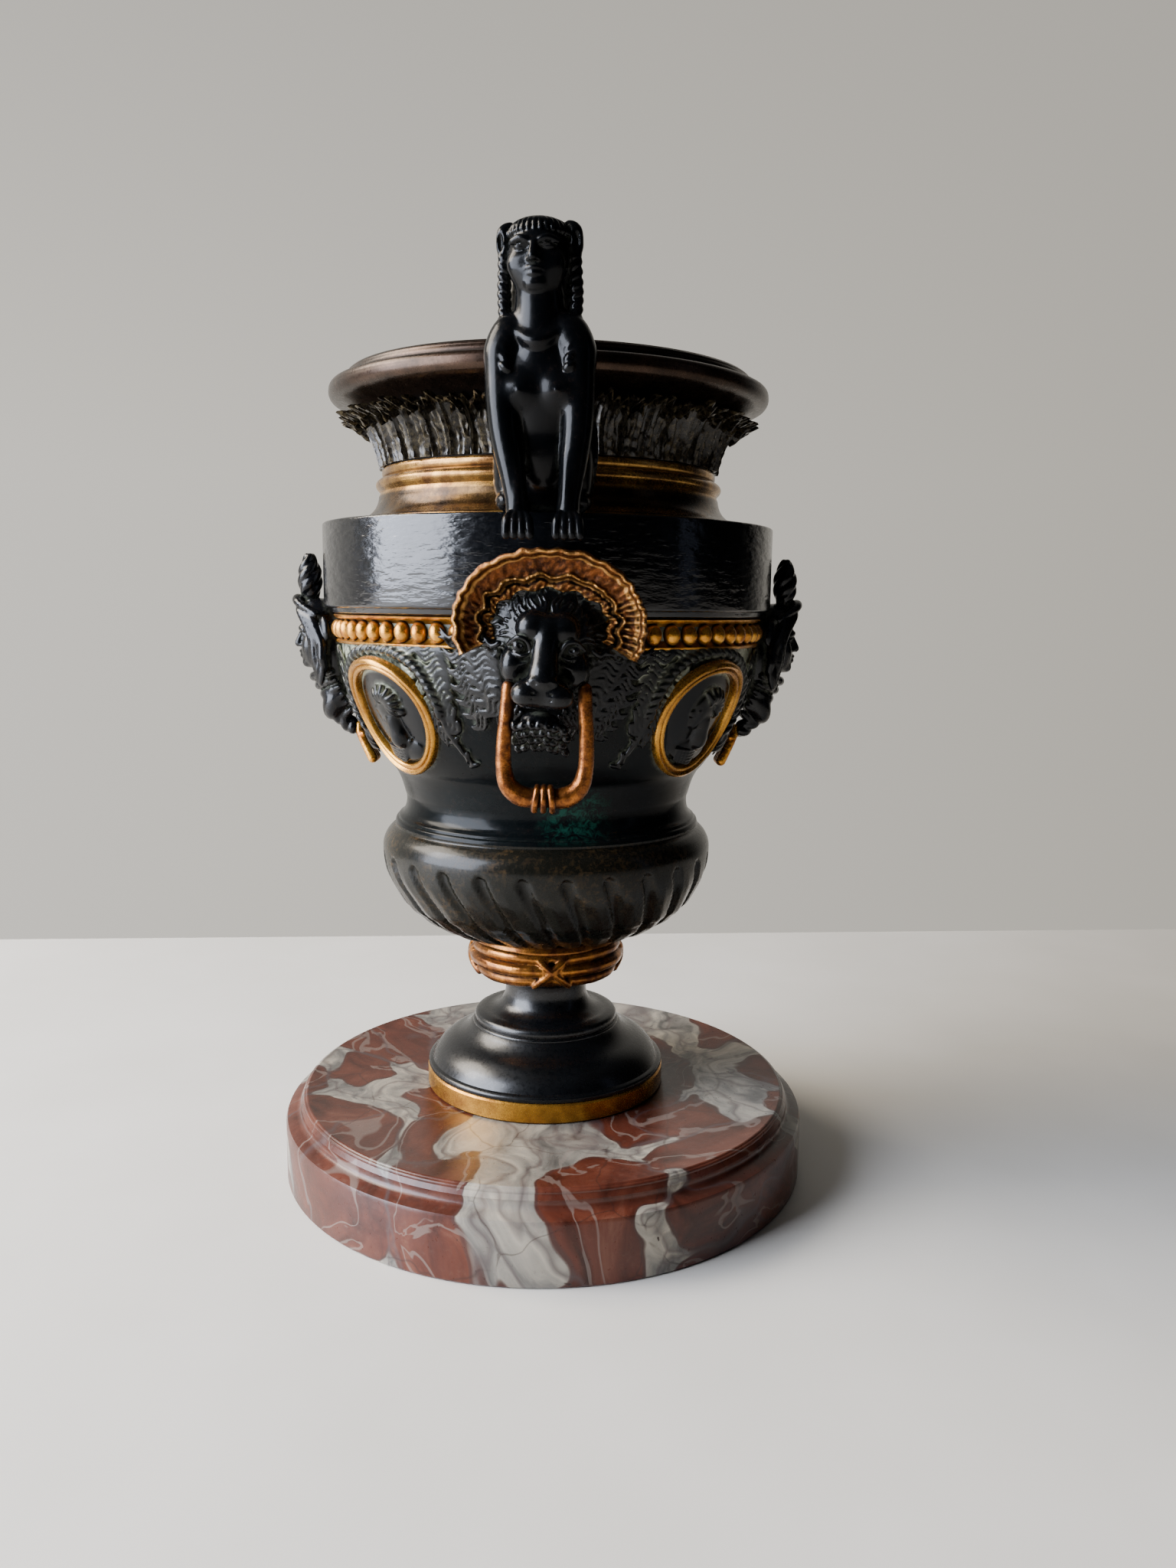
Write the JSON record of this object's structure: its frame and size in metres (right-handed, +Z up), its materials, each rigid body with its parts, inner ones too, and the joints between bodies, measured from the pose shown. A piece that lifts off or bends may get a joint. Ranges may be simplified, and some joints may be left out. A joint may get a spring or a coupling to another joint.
{
  "type": "medici vase",
  "caption": "Footed urn of Medici form with sphinx handles, lion masks with rings, side masks and oval medallions, on a round moulded marble plinth.",
  "frame": {"origin": "centre of the plinth's underside", "axes": "+Z up, -Y towards the front sphinx, +X towards the right-hand side mask"},
  "size_m": [0.155, 0.155, 0.2529],
  "materials": {
    "marble": "polished red marble with white and grey veins",
    "black_bronze": "black patinated bronze, satin to glossy",
    "brown_black_bronze": "brown-black patinated bronze, rubbed on the edges",
    "brown_bronze": "coppery brown bronze, dull in the hollows",
    "gilt_bronze": "fire-gilt bronze, warm and uneven",
    "brushed_gilt": "turned and burnished gilt bronze"
  },
  "bodies": {
    "root": {"marble_plinth": "marble", "foot_ring": "brushed_gilt", "foot": "black_bronze", "laurel_knop": "gilt_bronze", "bowl": "brown_black_bronze", "body": "black_bronze", "drum": "black_bronze", "bead_band": "gilt_bronze", "neck_collar": "brushed_gilt", "neck_and_rim": "brown_bronze", "medallion_frame_1": "brushed_gilt", "medallion_1": "black_bronze", "medallion_frame_2": "brushed_gilt", "medallion_2": "black_bronze", "medallion_frame_3": "brushed_gilt", "medallion_3": "black_bronze", "medallion_frame_4": "brushed_gilt", "medallion_4": "black_bronze", "sphinx_front": "black_bronze", "shell_hood_front": "gilt_bronze", "lion_mask_front": "black_bronze", "ring_handle_front": "gilt_bronze", "sphinx_back": "black_bronze", "shell_hood_back": "gilt_bronze", "lion_mask_back": "black_bronze", "ring_handle_back": "gilt_bronze", "side_mask_right": "black_bronze", "ribbon_drop_right": "gilt_bronze", "side_mask_left": "black_bronze", "ribbon_drop_left": "gilt_bronze"}
  },
  "joints": []
}
